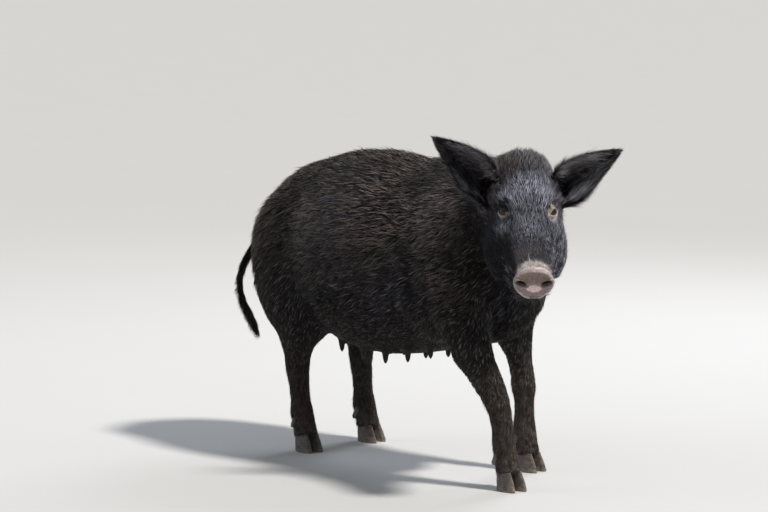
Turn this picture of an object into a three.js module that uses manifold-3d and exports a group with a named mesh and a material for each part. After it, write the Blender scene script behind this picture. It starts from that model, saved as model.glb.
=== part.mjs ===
// A standing wild sow (Sus scrofa), life size, in millimetres.
// +X is forward along the trunk, +Y is her left side and +Z is up. The origin is on the ground, under the
// middle of the space she takes up. Sizes include the coat. Her head is turned to her right and lowered.
// Her body is a smooth union of round masses and tapered bones, wrapped in rings and parted by thin cuts.
import * as THREE from "three";
import { LoftGeometry } from "three/addons/geometries/LoftGeometry.js";
import { mergeVertices } from "three/addons/utils/BufferGeometryUtils.js";
import Module from "manifold-3d";

const wasm = await Module();
wasm.setup();

// ---------------------------------------------------------------- driving dimensions
const GAP = 0.3; // clearance between touching pieces
const PAST = 60; // how far a cutter runs past what it cuts

// Masses of the trunk: ellipsoids with half sizes along X, Y and Z. TRUNK_PAIRS are on both sides.
const TRUNK = {
  ribs: { at: [190, 0, 492], size: [250, 158, 212] },
  barrel: { at: [-20, 0, 484], size: [330, 202, 224] },
  belly: { at: [-30, 0, 402], size: [270, 165, 146] },
  loin: { at: [-90, 0, 554], size: [292, 150, 172] },
  croup: { at: [-282, 0, 506], size: [150, 140, 172] },
  withers: { at: [225, 0, 583], size: [180, 104, 134] },
  brisket: { at: [348, 0, 425], size: [78, 80, 112] },
};
const TRUNK_PAIRS = {
  ham: { at: [-305, 98, 422], size: [97, 74, 178], turn: [0, -15, 0] },
  shoulder: { at: [280, 96, 488], size: [96, 60, 182], turn: [0, 12, 0] },
};
const TRUNK_BLEND = 55;

// The neck, a tapered tube from the shoulders to the skull, narrower from side to side than it is deep.
const NECK = { from: [270, 0, 544], to: [432, -48, 636], radii: [168, 110], flat: 0.86 };

// The head's own frame has +X along the muzzle and its origin midway between the eyes.
const HEAD_POSE = { at: [552, -126, 631], yaw: -39.8, pitch: 21 };
const HEAD = {
  skull: { at: [-62, 0, 0], size: [92, 72, 74] },
  poll: { at: [-114, 0, 42], size: [56, 54, 44] },
  chin: { at: [142, 0, -114], size: [46, 24, 24] },
};
const HEAD_PAIRS = {
  brow: { at: [-14, 42, 18], size: [38, 20, 20] },
  cheek: { at: [-22, 46, -60], size: [82, 35, 56] },
  jowl: { at: [-22, 48, -106], size: [96, 44, 60] },
  lip: { at: [124, 24, -96], size: [60, 16, 18] },
};
const HEAD_BONES = {
  muzzle: { from: [0, 0, -50], to: [190, 0, -66], radii: [61, 38], flat: 1.12 },
  bridge: { from: [0, 0, 4], to: [182, 0, -46], radii: [29, 21], flat: 1.2 },
  jaw: { from: [-50, 0, -112], to: [142, 0, -112], radii: [52, 27], flat: 1.2 },
};
const ORBITS = { orbit: { at: [12, 72, -2], size: [30, 20, 19] } };
const HEAD_BLEND = 22;
const THROAT = { behind: -104, above: -182, lean: 0.6 }; // where the head is parted from the neck
const MOUTH = [
  [260, -106],
  [150, -105],
  [88, -97],
  [58, -118],
  [-30, -156],
  [-52, -240],
  [260, -240],
]; // the lower jaw's side of the head, along X and Z

// The snout's disc is an oval plate that narrows towards its lower edge by the share `taper`.
const DISC = { at: [200, -70.5], width: 89, height: 75, taper: 0.1, thick: 15, lean: 6, round: 6 };
const NOSTRIL = { across: 27.5, up: 4, width: 18, height: 9.5, depth: 11, splay: 10 };
const EYE = { at: [-2, 49.5, 0], radius: 13 };

// Ears: the middle of the base and the way to the tip, in the head's frame. Facing is where they open to.
const EAR = {
  length: 168,
  root: 26,
  width: 90,
  widest: 0.3,
  thick: 8,
  facing: [0.84, 0.26, 0.47],
  bow: 6,
  rings: 8,
};
const EARS = {
  ear_right: { side: -1, base: [-84, -86, 22], along: [-10, -114, 110] },
  ear_left: { side: 1, base: [-84, 73, 8], along: [-10, 120, 86] },
};

const TAIL = {
  path: [
    [-396, 0, 556],
    [-434, -8, 548],
    [-469, -49, 490],
    [-481, -85, 436],
    [-480, -102, 400],
    [-461, -110, 347],
    [-432, -104, 299],
    [-408, -98, 259],
  ],
  root: 15,
  thin: 7,
  tassel: 10.5,
};

// Legs: joints from the body down to the coronet, each with its radius. The right foreleg steps forward.
const LEGS = {
  foreleg_right: {
    joints: [
      { at: [302, -108, 470], r: 66 },
      { at: [334, -120, 385], r: 64 },
      { at: [368, -118, 305], r: 53 },
      { at: [400, -108, 250], r: 41 },
      { at: [432, -100, 200], r: 33 },
      { at: [444, -97, 150], r: 25 },
      { at: [450, -96, 92], r: 27 },
      { at: [466, -95, 30], r: 31 },
    ],
    toe: -6,
  },
  foreleg_left: {
    joints: [
      { at: [286, 102, 470], r: 60 },
      { at: [270, 110, 385], r: 53 },
      { at: [270, 114, 310], r: 45 },
      { at: [288, 112, 250], r: 34 },
      { at: [298, 112, 204], r: 31 },
      { at: [304, 110, 150], r: 24 },
      { at: [304, 110, 92], r: 27 },
      { at: [318, 110, 30], r: 31 },
    ],
    toe: 4,
  },
  hindleg_right: {
    joints: [
      { at: [-300, -100, 440], r: 64 },
      { at: [-268, -112, 355], r: 71 },
      { at: [-236, -112, 286], r: 49 },
      { at: [-256, -108, 216], r: 35 },
      { at: [-252, -104, 160], r: 25 },
      { at: [-246, -102, 95], r: 28 },
      { at: [-226, -102, 30], r: 32 },
    ],
    toe: -5,
  },
  hindleg_left: {
    joints: [
      { at: [-300, 100, 440], r: 64 },
      { at: [-272, 112, 355], r: 71 },
      { at: [-248, 112, 288], r: 49 },
      { at: [-272, 108, 218], r: 35 },
      { at: [-262, 106, 160], r: 25 },
      { at: [-254, 104, 95], r: 28 },
      { at: [-234, 104, 30], r: 32 },
    ],
    toe: 5,
  },
};
const LEG_FLAT = 0.86; // width across over depth
const LEG_BLEND = 50;
// The space that each leg is cut from: its ends along X, and the slanting plane over it, from inner to outer.
const LEG_ROOMS = {
  fore: { rear: 216, front: 640, inner: { y: 60, z: 318 }, outer: { y: 300, z: 470 } },
  hind: { rear: -620, front: -166, inner: { y: 30, z: 318 }, outer: { y: 300, z: 500 } },
};
const CORONET = { height: 40, slope: 10 }; // top of the hooves, higher at the front
const CLAW = { length: 62, width: 29, cleft: 4, top: 0.84, ahead: 12, bevel: 3 };
const DEWCLAW = { height: 84, behind: 16, apart: 15, radius: 10, length: 36, aim: [-0.5, 0.2, -0.84] };

const TEATS = { pairs: 5, from: -140, step: 78, across: 64, length: 30, radius: 7.5 };

const COLOUR = {
  coat: "#1d191a",
  snout: "#8a736c",
  ear: "#1b1718",
  eye: "#1a0f0a",
  hoof: "#2b2523",
  tail: "#171415",
};

// ---------------------------------------------------------------- fields: distances, less than 0 inside
const vec = ([x, y, z]) => new THREE.Vector3(x, y, z);
const radians = THREE.MathUtils.degToRad;
const lerp = THREE.MathUtils.lerp;

function frameOf({ at, turn = [0, 0, 0] }) {
  const euler = new THREE.Euler(...turn.map(radians), "ZYX");
  return new THREE.Matrix4().makeRotationFromEuler(euler).setPosition(vec(at));
}

/** Distance from an ellipsoid, close to its surface. */
function mass(form) {
  const own = frameOf(form).invert();
  const [a, b, c] = form.size;
  return (p) => {
    const q = p.clone().applyMatrix4(own);
    const k0 = Math.hypot(q.x / a, q.y / b, q.z / c);
    const k1 = Math.hypot(q.x / a ** 2, q.y / b ** 2, q.z / c ** 2);
    return k1 < 1e-9 ? -Math.min(a, b, c) : (k0 * (k0 - 1)) / k1;
  };
}

/** Distance from a tapered bone, flattened from side to side by `flat`. */
function bone({ from, to, radii, flat = 1 }) {
  const start = vec(from);
  const span = vec(to).sub(start);
  return (p) => {
    const q = p.clone().sub(start);
    const t = THREE.MathUtils.clamp(q.dot(span) / span.lengthSq(), 0, 1);
    q.addScaledVector(span, -t);
    q.y /= flat;
    return q.length() - lerp(radii[0], radii[1], t);
  };
}

const mirrored = ({ at, size, turn = [0, 0, 0] }) => ({
  at: [at[0], -at[1], at[2]],
  size,
  turn: [-turn[0], turn[1], -turn[2]],
});
const bothSides = (forms) => Object.values(forms).flatMap((form) => [mass(form), mass(mirrored(form))]);

/** The smooth union of two distances. */
function melt(a, b, k) {
  const h = Math.max(k - Math.abs(a - b), 0) / k;
  return Math.min(a, b) - (h * h * k) / 4;
}

const blend = (fields, k) => (p) => fields.reduce((d, field) => melt(d, field(p), k), Infinity);

// ---------------------------------------------------------------- solids
function solidOf(geometry) {
  const bare = new THREE.BufferGeometry();
  bare.setAttribute("position", geometry.attributes.position);
  bare.setIndex(geometry.index);
  const merged = mergeVertices(bare, 1e-3);
  return new wasm.Manifold(
    new wasm.Mesh({
      numProp: 3,
      vertProperties: merged.attributes.position.array,
      triVerts: new Uint32Array(merged.index.array),
    }),
  );
}

const loft = (sections) => solidOf(new LoftGeometry(sections, { capStart: true, capEnd: true }));

/** How far a ray runs from inside a field to its surface. */
function rayLength(field, origin, direction, reach) {
  const at = (r) => field(origin.clone().addScaledVector(direction, r));
  let inside = 0;
  let outside = 1;
  while (outside < reach && at(outside) < 0) {
    inside = outside;
    outside += Math.max(2, -0.5 * at(outside));
  }
  if (outside >= reach) return reach;
  for (let i = 0; i < 14; i++) {
    const middle = (inside + outside) / 2;
    if (at(middle) < 0) inside = middle;
    else outside = middle;
  }
  return outside;
}

/** A closed skin over a field: rings of rays square to a curved axis, fanned out at both ends. */
function wrap(axis, field, { rings, segments, fan = 5, reach = 600 }) {
  const rows = [];
  const lean = (i) => (Math.PI / 2) * (1 - (i + 0.25) / fan);
  for (let i = 0; i < fan; i++) rows.push({ t: 0, lean: -lean(i) });
  for (let i = 0; i <= rings; i++) rows.push({ t: i / rings, lean: 0 });
  for (let i = fan - 1; i >= 0; i--) rows.push({ t: 1, lean: lean(i) });
  const up = Math.abs(axis.getTangent(0).z) > 0.8 ? vec([1, 0, 0]) : vec([0, 0, 1]);
  const sections = rows.map((row) => {
    const origin = axis.getPointAt(row.t);
    const along = axis.getTangentAt(row.t);
    const side = new THREE.Vector3().crossVectors(up, along).normalize();
    const above = new THREE.Vector3().crossVectors(along, side);
    return Array.from({ length: segments }, (_, j) => {
      const angle = (j / segments) * 2 * Math.PI;
      const ray = side
        .clone()
        .multiplyScalar(Math.cos(angle))
        .addScaledVector(above, Math.sin(angle))
        .multiplyScalar(Math.cos(row.lean))
        .addScaledVector(along, Math.sin(row.lean));
      return origin.clone().addScaledVector(ray, rayLength(field, origin, ray, reach));
    });
  });
  return loft(sections);
}

/** A big block whose bottom face is the plane through `at`, square to `normal`. */
function blockAbove(at, normal, size = 2000) {
  const geometry = new THREE.BoxGeometry(size, size, size).translate(0, 0, size / 2);
  const turn = new THREE.Quaternion().setFromUnitVectors(vec([0, 0, 1]), vec(normal).normalize());
  geometry.applyQuaternion(turn).translate(...at);
  return solidOf(geometry);
}

/** Cuts a solid in two with a plane, leaving a gap: [the part on the normal's side, the rest]. */
function split(solid, at, normal) {
  const n = vec(normal).normalize();
  const shifted = (d) => vec(at).addScaledVector(n, d).toArray();
  return [
    solid.intersect(blockAbove(shifted(GAP / 2), normal)),
    solid.subtract(blockAbove(shifted(-GAP / 2), normal)),
  ];
}

/** The biggest body of a solid, without the slivers that a cut may leave. */
const largest = (solid) => solid.decompose().reduce((a, b) => (a.volume() > b.volume() ? a : b));

/** A side outline given in X and Z, pushed out across the whole width. */
function slab(outline, width = 400) {
  const shape = new THREE.Shape(outline.map(([x, z]) => new THREE.Vector2(x, z)));
  const geometry = new THREE.ExtrudeGeometry(shape, { depth: width, bevelEnabled: false });
  return geometry.translate(0, 0, -width / 2).rotateX(Math.PI / 2);
}

/** A turned piece: a profile of [radius, height] pairs about Z. */
function turned(profile, segments) {
  const points = profile.map(([r, z]) => new THREE.Vector2(r, z));
  return new THREE.LatheGeometry(points, segments).rotateX(Math.PI / 2);
}

// ---------------------------------------------------------------- the head's frame
const headTurn = new THREE.Euler(0, radians(HEAD_POSE.pitch), radians(HEAD_POSE.yaw), "ZYX");
const headFrame = new THREE.Matrix4().makeRotationFromEuler(headTurn).setPosition(vec(HEAD_POSE.at));
const intoHead = headFrame.clone().invert();
const headPoint = (point) => vec(point).applyMatrix4(headFrame);
const headDirection = (direction) => vec(direction).transformDirection(headFrame);

// ---------------------------------------------------------------- trunk, neck and head
const trunkField = blend(
  [...Object.values(TRUNK).map(mass), ...bothSides(TRUNK_PAIRS), bone(NECK)],
  TRUNK_BLEND,
);
const headMasses = blend(
  [...Object.values(HEAD).map(mass), ...bothSides(HEAD_PAIRS), ...Object.values(HEAD_BONES).map(bone)],
  HEAD_BLEND,
);
const orbits = blend(bothSides(ORBITS), HEAD_BLEND);
const carved = (p) => -melt(-headMasses(p), orbits(p), 12);
const headField = (p) => carved(p.clone().applyMatrix4(intoHead));
const wholeField = (p) => melt(trunkField(p), headField(p), 36);

function torsoSolid() {
  const axis = new THREE.CatmullRomCurve3([
    vec([-300, 0, 490]),
    vec([-60, 0, 480]),
    vec([200, 0, 500]),
    vec([370, -26, 550]),
    headPoint([-50, 0, -50]),
  ]);
  return wrap(axis, wholeField, { rings: 22, segments: 24, fan: 4, reach: 320 });
}

function headSolid() {
  const axis = new THREE.LineCurve3(headPoint([-150, 0, -32]), headPoint([160, 0, -78]));
  return wrap(axis, wholeField, { rings: 23, segments: 22, fan: 3, reach: 260 });
}

/** The space that the head is cut from: ahead of the nape and above the throat. */
function headRoom(grow) {
  const ahead = headDirection([1, 0, THROAT.lean]);
  const nape = headPoint([THROAT.behind, 0, -40]).addScaledVector(ahead, -grow);
  const throat = headPoint([0, 0, THROAT.above - grow]);
  return blockAbove(nape.toArray(), ahead.toArray()).intersect(
    blockAbove(throat.toArray(), headDirection([0, 0, 1]).toArray()),
  );
}

// ---------------------------------------------------------------- legs
function legSolid({ joints }) {
  const axis = new THREE.CatmullRomCurve3(joints.map(({ at }) => vec(at)));
  const bones = joints
    .slice(1)
    .map((low, i) => bone({ from: joints[i].at, to: low.at, radii: [joints[i].r, low.r], flat: LEG_FLAT }));
  const field = blend(bones, 12);
  const insideTrunk = (p) => trunkField(p) + 14;
  return wrap(axis, (p) => melt(field(p), insideTrunk(p), LEG_BLEND), {
    rings: 13,
    segments: 10,
    fan: 2,
    reach: 92,
  });
}

/** All that lies under a plane rising outwards from the midline, on one side, between two ends along X. */
function legRoom({ rear, front, inner, outer }, side, grow) {
  const outline = new THREE.Shape([
    new THREE.Vector2(side * (inner.y - grow), -PAST),
    new THREE.Vector2(side * outer.y, -PAST),
    new THREE.Vector2(side * outer.y, outer.z + grow),
    new THREE.Vector2(side * (inner.y - grow), inner.z + grow),
  ]);
  const room = new THREE.ExtrudeGeometry(outline, { depth: front - rear + 2 * grow, bevelEnabled: false });
  room.applyMatrix4(new THREE.Matrix4().makeBasis(vec([0, 1, 0]), vec([0, 0, 1]), vec([1, 0, 0])));
  return solidOf(room.translate(rear - grow, 0, 0));
}

// ---------------------------------------------------------------- ears
/** An ear: a tube at the root that opens into a cupped blade. `grow` thickens it all round. */
function earSolid({ side, base, along }, grow = 0) {
  const long = vec(along).normalize();
  const facing = vec([EAR.facing[0], side * EAR.facing[1], EAR.facing[2]]);
  facing.addScaledVector(long, -facing.dot(long)).normalize();
  const across = new THREE.Vector3().crossVectors(facing, long);
  const start = -EAR.root - grow;
  const sections = Array.from({ length: EAR.rings + 1 }, (_, i) => {
    const way = lerp(start, EAR.length + grow, i / EAR.rings);
    const s = THREE.MathUtils.clamp(way / EAR.length, 0, 1);
    const t = Math.max(0, (s - EAR.widest) / (1 - EAR.widest));
    const open = Math.min(1, s / EAR.widest);
    const taper = (1 - 0.96 * t) ** 0.9 * (1 + 0.3 * t);
    const half = (EAR.width / 2) * lerp(0.72, 1, Math.sin((open * Math.PI) / 2)) * taper;
    const cup = radians(38 + 76 * (1 - s) ** 2.2);
    const bow = half / Math.sin(Math.min(cup, Math.PI / 2));
    const thick = lerp(EAR.thick, 4.5, s) / 2 + grow;
    const spread = cup + grow / bow;
    const middle = vec(base)
      .addScaledVector(long, way)
      .addScaledVector(facing, (-bow * (1 - Math.cos(cup))) / 2 + 7 * s ** 2)
      .addScaledVector(across, side * EAR.bow * Math.sin(s * Math.PI));
    const rim = (radius, angle) =>
      middle
        .clone()
        .addScaledVector(facing, bow - radius * Math.cos(angle))
        .addScaledVector(across, radius * Math.sin(angle));
    const steps = Array.from({ length: 8 }, (_, j) => lerp(-spread, spread, j / 7));
    return [
      ...steps.map((angle) => rim(bow + thick, angle)),
      ...steps.reverse().map((angle) => rim(Math.max(bow - thick, 0.6), angle)),
    ];
  });
  return loft(sections.map((row) => row.map((p) => p.applyMatrix4(headFrame))));
}

// ---------------------------------------------------------------- snout, mouth and eyes
const inHead = (geometry) => solidOf(geometry.applyMatrix4(headFrame));

/** The rhinarium, a rounded oval plate that leans back a little, with two nostrils sunk in its face. */
function snoutDisc() {
  const { thick, round } = DISC;
  const edge = round / (DISC.height / 2);
  const plate = turned(
    [[0, -thick / 2], [1, -thick / 2], [1, thick / 2 - round], [1 - edge * 0.3, thick / 2 - round * 0.3],
      [1 - edge, thick / 2], [0, thick / 2 - 1.5]],
    20,
  );
  const at = plate.getAttribute("position");
  for (let i = 0; i < at.count; i++) at.setX(i, at.getX(i) * (1 + DISC.taper * at.getY(i)));
  plate.scale(DISC.width / 2, DISC.height / 2, 1);
  let solid = placeOnMuzzle(plate, [0, 0, 0]);
  for (const side of [-1, 1]) {
    const bore = turned([[0, -NOSTRIL.depth], [0.6, -NOSTRIL.depth], [0.85, -2], [1.25, 4], [0, 4]], 10)
      .scale(NOSTRIL.width / 2, NOSTRIL.height / 2, 1)
      .rotateZ(radians(-side * NOSTRIL.splay));
    solid = solid.subtract(placeOnMuzzle(bore, [side * NOSTRIL.across, NOSTRIL.up, thick / 2]));
  }
  return solid;
}

/** Puts a geometry made about Z on the end of the muzzle: its Z forward, its X to her left and its Y up. */
function placeOnMuzzle(geometry, [y, z, x]) {
  geometry.translate(y, z, x);
  geometry.applyMatrix4(new THREE.Matrix4().makeBasis(vec([0, 1, 0]), vec([0, 0, 1]), vec([1, 0, 0])));
  geometry.rotateY(radians(DISC.lean)).translate(DISC.at[0], 0, DISC.at[1]);
  return inHead(geometry);
}

function eyeball(side, grow) {
  const [x, y, z] = EYE.at;
  return inHead(new THREE.SphereGeometry(EYE.radius + grow, 12, 8).translate(x, side * y, z));
}

// ---------------------------------------------------------------- tail and teats
function tube(points, radiusAt, { rings, segments }) {
  const axis = new THREE.CatmullRomCurve3(points.map(vec));
  const frames = axis.computeFrenetFrames(rings, false);
  const sections = Array.from({ length: rings + 1 }, (_, i) => {
    const centre = axis.getPointAt(i / rings);
    return Array.from({ length: segments }, (_, j) => {
      const angle = (j / segments) * 2 * Math.PI;
      return centre
        .clone()
        .addScaledVector(frames.normals[i], Math.cos(angle) * radiusAt(i / rings))
        .addScaledVector(frames.binormals[i], Math.sin(angle) * radiusAt(i / rings));
    });
  });
  return loft(sections);
}

function tailSolid(grow) {
  const radiusAt = (t) => {
    const tassel = Math.exp(-(((t - 0.84) / 0.13) ** 2)) * (TAIL.tassel - TAIL.thin);
    const tip = Math.sqrt(Math.max(0.06, 1 - Math.max(0, (t - 0.86) / 0.14) ** 2));
    return (lerp(TAIL.root, TAIL.thin, Math.min(1, t / 0.7)) + tassel) * tip + grow;
  };
  return tube(TAIL.path, radiusAt, { rings: 12, segments: 8 });
}

function teat(x, y) {
  const origin = vec([x, y, 420]);
  const depth = rayLength(wholeField, origin, vec([0, 0, -1]), 300);
  const { length, radius } = TEATS;
  const profile = [[0, 12], [radius * 1.5, 12], [radius, -length * 0.7], [0, -length]];
  const cone = turned([...profile].reverse(), 7);
  return solidOf(cone.translate(x, y, origin.z - depth));
}

// ---------------------------------------------------------------- feet
/** The foot's own frame has its origin on the ground under the coronet and +X towards the toes. */
function footFrame({ joints, toe }) {
  const [x, y] = joints.at(-1).at;
  return new THREE.Matrix4().makeRotationZ(radians(toe)).setPosition(x, y, 0);
}

function coronetPlane(frame, lift) {
  const slope = radians(CORONET.slope);
  return [
    vec([0, 0, CORONET.height + lift]).applyMatrix4(frame).toArray(),
    vec([-Math.sin(slope), 0, Math.cos(slope)]).transformDirection(frame).toArray(),
  ];
}

/** One claw: flat below, upright and blunt behind, and sloping forward to a rounded toe. */
function claw(frame, side) {
  const { length, width, cleft, top, ahead, bevel } = CLAW;
  const levels = [
    { z: 0, size: 0.93 },
    { z: bevel, size: 1 },
    { z: CORONET.height * 0.6, size: lerp(1, top, 0.5) },
    { z: CORONET.height * 1.3, size: top },
  ];
  const sections = levels.map(({ z, size }) =>
    Array.from({ length: 10 }, (_, j) => {
      const angle = (j / 10) * 2 * Math.PI;
      const along = Math.cos(angle);
      const x = (length / 2) * size * Math.sign(along) * Math.abs(along) ** (along > 0 ? 1 : 0.7);
      const narrow = 1 - 0.3 * Math.max(0, along) ** 2;
      const y = (width / 2) * size * Math.sin(angle) * narrow;
      const forward = ahead * (1 - z / (CORONET.height * 1.1));
      const middle = side * ((width + cleft) / 2 - (width / 2) * (1 - size) * 0.8);
      return vec([x + forward, middle + y, z]);
    }),
  );
  const solid = loft(sections.map((row) => row.map((p) => p.applyMatrix4(frame))));
  return solid.subtract(blockAbove(...coronetPlane(frame, -GAP / 2)));
}

function dewclaw(frame, side, grow) {
  const { height, behind, apart, radius, length, aim } = DEWCLAW;
  const r = radius + grow;
  const profile = [[0, -grow], [r, -grow], [r, length * 0.3], [r * 0.62, length * 0.85], [0, length + grow]];
  const cone = turned(profile, 8);
  const turn = new THREE.Quaternion().setFromUnitVectors(
    vec([0, 0, 1]),
    vec([aim[0], side * aim[1], aim[2]]).normalize(),
  );
  cone.applyQuaternion(turn).translate(-behind, side * apart, height);
  return solidOf(cone.applyMatrix4(frame));
}

// ---------------------------------------------------------------- the model
const pieces = [];
const keep = (name, solid, colour, roughness = 0.8) => pieces.push({ name, solid, colour, roughness });

let body = torsoSolid();
for (const leg of Object.values(LEGS)) body = body.add(legSolid(leg));
body = body.subtract(headRoom(GAP));
keep("tail", tailSolid(0), COLOUR.tail);
body = body.subtract(tailSolid(GAP));

for (const [name, leg] of Object.entries(LEGS)) {
  const side = Math.sign(leg.joints[0].at[1]);
  const room = LEG_ROOMS[name.slice(0, 4)];
  const foot = footFrame(leg);
  let limb = body.intersect(legRoom(room, side, 0)).intersect(blockAbove(...coronetPlane(foot, GAP / 2)));
  body = body.subtract(legRoom(room, side, GAP));
  for (const [place, across] of [["outer", side], ["inner", -side]]) {
    keep(`${name}_claw_${place}`, claw(foot, across), COLOUR.hoof, 0.55);
    keep(`${name}_dewclaw_${place}`, dewclaw(foot, across, 0), COLOUR.hoof, 0.55);
    limb = limb.subtract(dewclaw(foot, across, GAP));
  }
  const [knee] = leg.joints.slice(-4);
  const [upper, lower] = split(limb, knee.at, [0, 0, 1]);
  keep(`${name}_upper`, largest(upper), COLOUR.coat);
  keep(`${name}_lower`, largest(lower), COLOUR.coat);
}

const [neck, torso] = split(body, [330, 0, 500], [1, 0, 0.2]);
let trunk = torso;
for (let i = 0; i < TEATS.pairs; i++) {
  for (const side of [-1, 1]) trunk = trunk.add(teat(TEATS.from + i * TEATS.step, side * TEATS.across));
}
keep("trunk", trunk, COLOUR.coat);
keep("neck", neck, COLOUR.coat);

let head = headSolid().intersect(headRoom(0));
for (const [name, ear] of Object.entries(EARS)) {
  keep(name, earSolid(ear), COLOUR.ear);
  head = head.subtract(earSolid(ear, GAP));
}
for (const [name, side] of [["eye_left", 1], ["eye_right", -1]]) {
  keep(name, eyeball(side, 0), COLOUR.eye, 0.15);
  head = head.subtract(eyeball(side, GAP));
}
keep("snout_disc", snoutDisc(), COLOUR.snout, 0.5);
const forward = headDirection([Math.cos(radians(DISC.lean)), 0, -Math.sin(radians(DISC.lean))]);
const discMiddle = headPoint([DISC.at[0], 0, DISC.at[1]]);
const muzzleEnd = discMiddle.addScaledVector(forward, -(DISC.thick / 2 + GAP));
head = head.subtract(blockAbove(muzzleEnd.toArray(), forward.toArray()));
keep("lower_jaw", head.intersect(inHead(slab(MOUTH))), COLOUR.coat);
head = head.subtract(inHead(slab(MOUTH.map(([x, z]) => [x - 0.2, z + GAP]))));
keep("head", head, COLOUR.coat);

// Everything is moved so that the origin is under the middle of the whole.
const bounds = new THREE.Box3();
for (const { solid } of pieces) {
  const { min, max } = solid.boundingBox();
  bounds.expandByPoint(vec(min)).expandByPoint(vec(max));
}
const centre = bounds.getCenter(new THREE.Vector3());

const model = new THREE.Group();
for (const { name, solid, colour, roughness } of pieces) {
  const mesh = solid.getMesh();
  const geometry = new THREE.BufferGeometry()
    .setAttribute("position", new THREE.BufferAttribute(new Float32Array(mesh.vertProperties), 3))
    .setIndex(new THREE.BufferAttribute(new Uint32Array(mesh.triVerts), 1))
    .translate(-centre.x, -centre.y, 0);
  geometry.computeVertexNormals();
  const material = new THREE.MeshStandardMaterial({ color: colour, roughness, metalness: 0 });
  const piece = new THREE.Mesh(geometry, material);
  piece.name = name;
  model.add(piece);
}

export default model;
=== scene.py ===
"""A wild sow standing with its head turned to the right, life size, as a still model.

One skin is grown over the solids of flesh, with lids, nostrils, lips and folds shaped into it. The coat is
made of bristle locks that follow the lie of the hair. Eyes and claws are pieces of their own. Sizes are in
metres.
"""

import math

import bpy
import numpy as np
from mathutils import Matrix, Vector
from mathutils.bvhtree import BVHTree
from mathutils.kdtree import KDTree


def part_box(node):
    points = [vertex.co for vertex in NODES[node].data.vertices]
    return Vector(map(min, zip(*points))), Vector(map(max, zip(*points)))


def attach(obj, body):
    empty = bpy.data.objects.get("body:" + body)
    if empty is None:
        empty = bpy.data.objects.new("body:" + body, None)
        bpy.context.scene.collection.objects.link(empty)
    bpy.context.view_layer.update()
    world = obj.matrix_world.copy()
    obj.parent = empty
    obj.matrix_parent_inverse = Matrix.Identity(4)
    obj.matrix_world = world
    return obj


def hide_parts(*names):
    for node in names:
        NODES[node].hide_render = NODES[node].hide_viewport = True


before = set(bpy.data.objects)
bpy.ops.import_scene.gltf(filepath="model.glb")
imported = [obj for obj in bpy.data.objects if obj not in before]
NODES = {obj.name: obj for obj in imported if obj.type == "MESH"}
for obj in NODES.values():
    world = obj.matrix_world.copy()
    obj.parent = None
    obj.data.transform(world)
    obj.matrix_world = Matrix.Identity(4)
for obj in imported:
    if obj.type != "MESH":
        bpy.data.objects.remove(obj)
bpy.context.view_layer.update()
chance = np.random.default_rng(1847)

LEGS = ("foreleg_right", "foreleg_left", "hindleg_right", "hindleg_left")
EARS = ("ear_right", "ear_left")
FLESH = ["trunk", "neck", "head", "lower_jaw", "snout_disc", "tail", *EARS]
FLESH += [leg + part for leg in LEGS for part in ("_upper", "_lower")]

# ---------- places


def middle(node):
    low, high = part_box(node)
    return (low + high) / 2


# The head's own frame: X runs out along the muzzle, Y to the sow's left, Z up through the crown.
HEAD_YAW = math.radians(-39.8)
HEAD_PITCH = math.radians(21)
HEAD_TURN = Matrix.Rotation(HEAD_YAW, 3, "Z") @ Matrix.Rotation(HEAD_PITCH, 3, "Y")
EYE_AT = np.array([-0.002, 0.0495, 0.0])
EYE_LOOKS = np.array([0.68, 0.68, 0.26])
EYE_RADIUS = 0.013
HEAD_AT = (middle("eye_right") + middle("eye_left")) / 2 - HEAD_TURN @ Vector((EYE_AT[0], 0, 0))
TURN = np.array(HEAD_TURN)
AT = np.array(HEAD_AT)
DISC_AT = np.array([0.200, 0.0, -0.0705])
DISC_LEAN = math.radians(6)
DISC = {"half": 0.0445, "tall": 0.0375, "taper": 0.1}
NOSTRIL = {"across": 0.0275, "up": 0.004, "width": 0.0240, "height": 0.0125, "depth": 0.017, "rise": 0.32}


def into_head(points):
    return (points - AT) @ TURN


def out_of_head(points):
    return points @ TURN.T + AT


def unit(v):
    return v / np.maximum(np.linalg.norm(v, axis=-1, keepdims=True), 1e-9)


def ramp(x, low, high):
    t = np.clip((x - low) / (high - low), 0, 1)
    return t * t * (3 - 2 * t)


def hump(x, centre, width):
    return np.exp(-(((x - centre) / width) ** 2))


def swell(points, size, seed):
    """A smooth random field from about -1 to 1, with waves of about that size."""
    waves = np.random.default_rng(seed)
    total = np.zeros(len(points))
    for _ in range(7):
        way = unit(waves.normal(size=3)) * (2 * math.pi / size) * waves.uniform(0.6, 1.5)
        total += np.sin(points @ way + waves.uniform(0, 6.28))
    return total / 2.6


# ---------- mesh helpers


def deselect():
    if bpy.context.object and bpy.context.object.mode != "OBJECT":
        bpy.ops.object.mode_set(mode="OBJECT")
    bpy.ops.object.select_all(action="DESELECT")


def pick(piece):
    deselect()
    piece.select_set(True)
    bpy.context.view_layer.objects.active = piece


def apply(piece, kind, **settings):
    pick(piece)
    step = piece.modifiers.new(kind.lower(), kind)
    for name, value in settings.items():
        setattr(step, name, value)
    bpy.ops.object.modifier_apply(modifier=step.name)


def weights(piece, name, values):
    group = piece.vertex_groups.new(name=name)
    levels = np.round(np.clip(values, 0, 1) * 32).astype(int)
    for level in np.unique(levels):
        if level:
            group.add(np.flatnonzero(levels == level).tolist(), level / 32, "REPLACE")
    return group.name


def read(items, field, width=3, kind=np.float32):
    """One field of a mesh's items, as rows of numbers."""
    out = np.empty(len(items) * width, kind)
    items.foreach_get(field, out)
    return out.reshape(-1, width).astype(float if kind is np.float32 else kind)


def places(piece):
    return read(piece.data.vertices, "co")


def put(piece, points):
    piece.data.vertices.foreach_set("co", points.astype(np.float32).ravel())
    piece.data.update()


def normals(piece):
    return read(piece.data.vertex_normals, "vector")


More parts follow.
